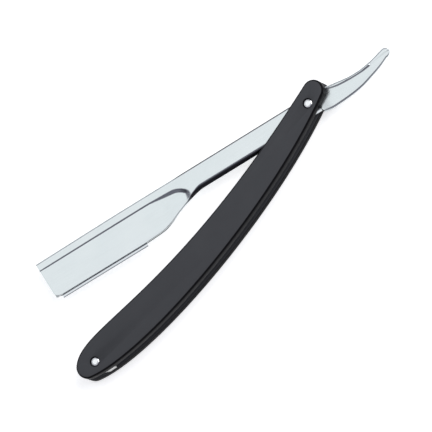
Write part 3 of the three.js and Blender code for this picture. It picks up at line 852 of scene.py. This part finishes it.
# ---- Blade and clip ----
def blade_outline():
    """Half a double-edge blade down to its bevel: stepped corners, notches along the snapped side."""
    left, right = BLADE_MIDDLE - BLADE_HALF_LENGTH, BLADE_MIDDLE + BLADE_HALF_LENGTH
    edge_left, edge_right = BLADE_MIDDLE - EDGE_HALF_LENGTH, BLADE_MIDDLE + EDGE_HALF_LENGTH
    step, corner = BLADE_TOP + TAB_HEIGHT, TAB_CORNER
    bevel = CUTTING_EDGE - BEVEL_HEIGHT
    outline = [
        (left, BLADE_TOP), (left, step), (edge_left + corner, step), (edge_left, step + corner),
        (edge_left, bevel), (edge_right, bevel), (edge_right, step + corner), (edge_right - corner, step),
        (right, step), (right, BLADE_TOP),
    ]
    for place, radius in ((NOTCH_PLACE, NOTCH_R), (0, MIDDLE_NOTCH_R), (-NOTCH_PLACE, NOTCH_R)):
        outline += notch(BLADE_MIDDLE + place, radius, place == 0)
    return outline


def notch(x, radius, middle):
    """A round notch met by the slot, walked from the toe side to the heel side."""
    rise = math.asin(SLOT_HEIGHT / radius)
    start = rise if middle or x < BLADE_MIDDLE else 0
    stop = math.pi - rise if middle or x > BLADE_MIDDLE else math.pi
    turns = [start + (stop - start) * i / 16 for i in range(17)]
    return [(x + radius * math.cos(t), BLADE_TOP + radius * math.sin(t)) for t in turns]


def make_blade():
    """A thin plate whose cutting side is ground in two bevels."""
    outline = blade_outline()
    count = len(outline)
    thick = BLADE_HALF_THICK
    vertices = [(x, y, thick) for x, y in outline] + [(x, y, -thick) for x, y in outline]
    faces = [tuple(range(count)), tuple(reversed(range(count, 2 * count)))]
    edge = 4  # the outline's side that carries the bevels
    faces += [(i, (i + 1) % count, count + (i + 1) % count, count + i) for i in range(count) if i != edge]
    ends = [outline[edge], outline[edge + 1]]
    base = len(vertices)
    for x, _ in ends:
        vertices += [(x, CUTTING_EDGE - HONED, HONED_THICK * thick), (x, CUTTING_EDGE, 0)]
        vertices.append((x, CUTTING_EDGE - HONED, -HONED_THICK * thick))
    faces += [
        (edge, edge + 1, base + 3, base), (base, base + 3, base + 4, base + 1),
        (base + 1, base + 4, base + 5, base + 2), (base + 2, base + 5, count + edge + 1, count + edge),
        (edge, base, base + 1, base + 2, count + edge),
        (edge + 1, count + edge + 1, base + 5, base + 4, base + 3),
    ]
    piece = make_mesh("half_blade_fine", vertices, faces, ARM_SPACE)
    finish_piece(piece, "insert", "blade_steel", "half_blade")


def clip_section():
    """The clip's closed section: a round bead in the holder's spine, and two leaves over the blade."""
    bead, leaf = ARM_HALF - SHEET - CLIP_PLAY, BLADE_HALF - SHEET - CLIP_PLAY
    bead_top, bead_end = SPINE_AT_TOE + SHEET + 2 * CLIP_PLAY, STEP_MIDDLE - 0.6
    front = [
        (CLIP_LIP, CLIP_SLIT), (CLIP_LIP, leaf - CLIP_CHAMFER), (CLIP_LIP - CLIP_CHAMFER, leaf),
        (bead_end, leaf), (bead_end - CLIP_SLOPE, bead),
    ]
    front += [
        (bead_top + CLIP_BEAD_ROUND * (1 - s), bead - CLIP_BEAD_ROUND * (1 - c)) for s, c in quarter(7)
    ]
    rear = [(y, -z) for y, z in reversed(front)]
    slit_end = BLADE_TOP - 0.2
    return front + rear + [(slit_end, -CLIP_SLIT), (slit_end, CLIP_SLIT)]


def make_clip():
    """The clip, with its heel corner cut back and its toe end on the slanted toe line."""
    section = clip_section()
    rounded = [CLIP_HEEL + distance for distance in (0, 0.4, 1.0, CLIP_HEEL_ROUND)]
    rings = []
    for x in (*rounded, *spread(CLIP_HEEL + 4, CLIP_TOE, 12), CLIP_TOE):
        into_round = max(CLIP_HEEL + CLIP_HEEL_ROUND - x, 0)
        pull = CLIP_HEEL_ROUND - math.sqrt(max(CLIP_HEEL_ROUND ** 2 - into_round ** 2, 0))
        ring = []
        for y, z in section:
            lowered = y - pull * smoothstep(y, CLIP_HEEL_FADE, CLIP_LIP)
            ring.append((toe_shear(x, lowered), lowered, z))
        rings.append(ring)
    count = len(section)
    faces = grid_faces(len(rings), count)
    faces += [tuple(range(count)), tuple(reversed(range((len(rings) - 1) * count, len(rings) * count)))]
    piece = make_mesh("blade_clip_fine", [v for ring in rings for v in ring], faces, ARM_SPACE)
    for side in (-1, 1):
        hole = ARM_SPACE @ Matrix.Translation((BLADE_MIDDLE + NOTCH_PLACE * side, BLADE_TOP, 0))
        cut(piece, turned("cutter", bore_cutter(CLIP_STUD_HOLE_R, 2), hole))
    finish_piece(piece, "insert", "clip_steel", "blade_clip")


# ---- Camera, light and floor ----
# The view leans from straight above towards the handle's convex side. PHOTO_RIGHT gives the picture's
# right as shares of the lean's direction as seen and of the side's. PHOTO_CENTRE is the point looked at,
# in millimetres along both from the pivot, and PHOTO_WIDTH what the picture spans there, in metres.
PHOTO_TILT = math.radians(24.0)
PHOTO_LEAN = Vector((0.3255, -0.9455, 0))
PHOTO_SIDE = Vector((0.9455, 0.3255, 0))
PHOTO_RIGHT = (0.927, 0.375)
PHOTO_WIDTH = 0.1569
SENSOR_WIDTH = 36
PHOTO_CENTRE = (-16.87, -50.17)
CAMERA_DISTANCE = 1.6
FLOOR_REACH = 6.0
FLOOR_GLOW = 0.6
SKY_PATCH = (14, 30)
SKY_BRIGHT = (1.12, 1.16, 1.18)
SKY_DIM = (0.17, 0.167, 0.205)
SKY_BAND = (0.62, 0.64, 0.67)
SKY_BAND_TOP = (18, 32)
KEY_AZIMUTH = -10
KEY_RISE = 45
KEY_DISTANCE = 1.2
KEY_SIZE = 1.0
KEY_POWER = 8


def make_camera():
    """A long lens at the photograph's viewing angle, so that lines stay nearly parallel."""
    towards = math.cos(PHOTO_TILT) * Vector((0, 0, 1)) + math.sin(PHOTO_TILT) * PHOTO_LEAN
    lean_seen = math.cos(PHOTO_TILT) * PHOTO_LEAN - math.sin(PHOTO_TILT) * Vector((0, 0, 1))
    right = PHOTO_RIGHT[0] * lean_seen + PHOTO_RIGHT[1] * PHOTO_SIDE
    up = towards.cross(right)
    target = PIVOT + (PHOTO_CENTRE[0] * PHOTO_LEAN + PHOTO_CENTRE[1] * PHOTO_SIDE) * MM
    target.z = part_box("front_scale")[1].z
    camera = bpy.data.objects.new("camera", bpy.data.cameras.new("camera"))
    bpy.context.scene.collection.objects.link(camera)
    turn = Matrix((right.normalized(), up.normalized(), towards)).transposed()
    camera.matrix_world = Matrix.Translation(target + towards * CAMERA_DISTANCE) @ turn.to_4x4()
    camera.data.sensor_width = SENSOR_WIDTH
    camera.data.lens = SENSOR_WIDTH * CAMERA_DISTANCE / PHOTO_WIDTH
    camera.data.clip_start, camera.data.clip_end = 0.05, 20
    bpy.context.scene.camera = camera


def make_lamp():
    """One large soft lamp over the tail end, whose shadows fall along the razor."""
    azimuth, rise = math.radians(KEY_AZIMUTH), math.radians(KEY_RISE)
    level = math.cos(rise)
    towards = Vector((level * math.cos(azimuth), level * math.sin(azimuth), math.sin(rise)))
    data = bpy.data.lights.new("key", "AREA")
    data.shape = "SQUARE"
    data.size = KEY_SIZE
    data.energy = KEY_POWER
    lamp = bpy.data.objects.new("key", data)
    bpy.context.scene.collection.objects.link(lamp)
    lamp.location = towards * KEY_DISTANCE
    lamp.rotation_mode = "QUATERNION"
    lamp.rotation_quaternion = (-towards).to_track_quat("-Z", "Y")
    lamp.visible_camera = False


def make_floor():
    """A pale sheet that glows a little, so that shadows on it stay soft."""
    mesh = bpy.data.meshes.new("floor")
    corners = [(FLOOR_REACH * x, FLOOR_REACH * y, 0) for x, y in ((-1, -1), (1, -1), (1, 1), (-1, 1))]
    mesh.from_pydata(corners, [], [(0, 1, 2, 3)])
    floor = bpy.data.objects.new("floor", mesh)
    bpy.context.scene.collection.objects.link(floor)
    pale, shader = principled("pale_floor", (0.86, 0.86, 0.86), 0.9)
    shader.inputs["Specular IOR Level"].default_value = 0.1
    shader.inputs["Emission Color"].default_value = (1, 1, 1, 1)
    shader.inputs["Emission Strength"].default_value = FLOOR_GLOW
    mesh.materials.append(pale)


def make_sky():
    """A soft bright patch high in a dim sky, for the flat faces to mirror, and a band of light low down
    all round, for them to mirror in low views."""
    towards = math.cos(PHOTO_TILT) * Vector((0, 0, 1)) - math.sin(PHOTO_TILT) * PHOTO_LEAN
    world = bpy.data.worlds.new("studio")
    bpy.context.scene.world = world
    world.use_nodes = True
    tree = world.node_tree
    place = tree.nodes.new("ShaderNodeTexCoord").outputs["Generated"]
    height = add_node(world, "ShaderNodeSeparateXYZ")
    tree.links.new(place, height.inputs[0])
    dot = add_node(world, "ShaderNodeVectorMath", operation="DOT_PRODUCT")
    dot.inputs[1].default_value = towards
    tree.links.new(place, dot.inputs[0])
    low, high = [math.sin(math.radians(angle)) for angle in SKY_BAND_TOP]
    dim_sky = mix_colours(world, ramp(world, height.outputs["Z"], low, high), SKY_BAND, SKY_DIM)
    rim, core = [math.cos(math.radians(angle)) for angle in reversed(SKY_PATCH)]
    sky = mix_colours(world, ramp(world, dot.outputs["Value"], rim, core), dim_sky, SKY_BRIGHT)
    tree.links.new(sky, tree.nodes["Background"].inputs["Color"])


# ---- Everything together ----
make_camera()
make_floor()
make_sky()
make_lamp()
bpy.context.scene.view_settings.view_transform = "Standard"
make_scale("front_scale", 1)
make_scale("rear_scale", -1)
make_spacer()
make_rivet("butt", HANDLE_SPACE)
make_rivet("pivot", PIVOT_SPACE)
make_holder()
make_blade()
make_clip()
for node, kept_slot in (
    ("pivot_washer_front", "washer_brass"), ("pivot_washer_rear", "washer_brass"),
    ("pivot_bush", "washer_brass"), ("clip_stud_heel", "clip_steel"), ("clip_stud_toe", "clip_steel"),
):
    kept = frame["nodes"][node]
    kept.data.materials.clear()
    kept.data.materials.append(MATERIALS[kept_slot])
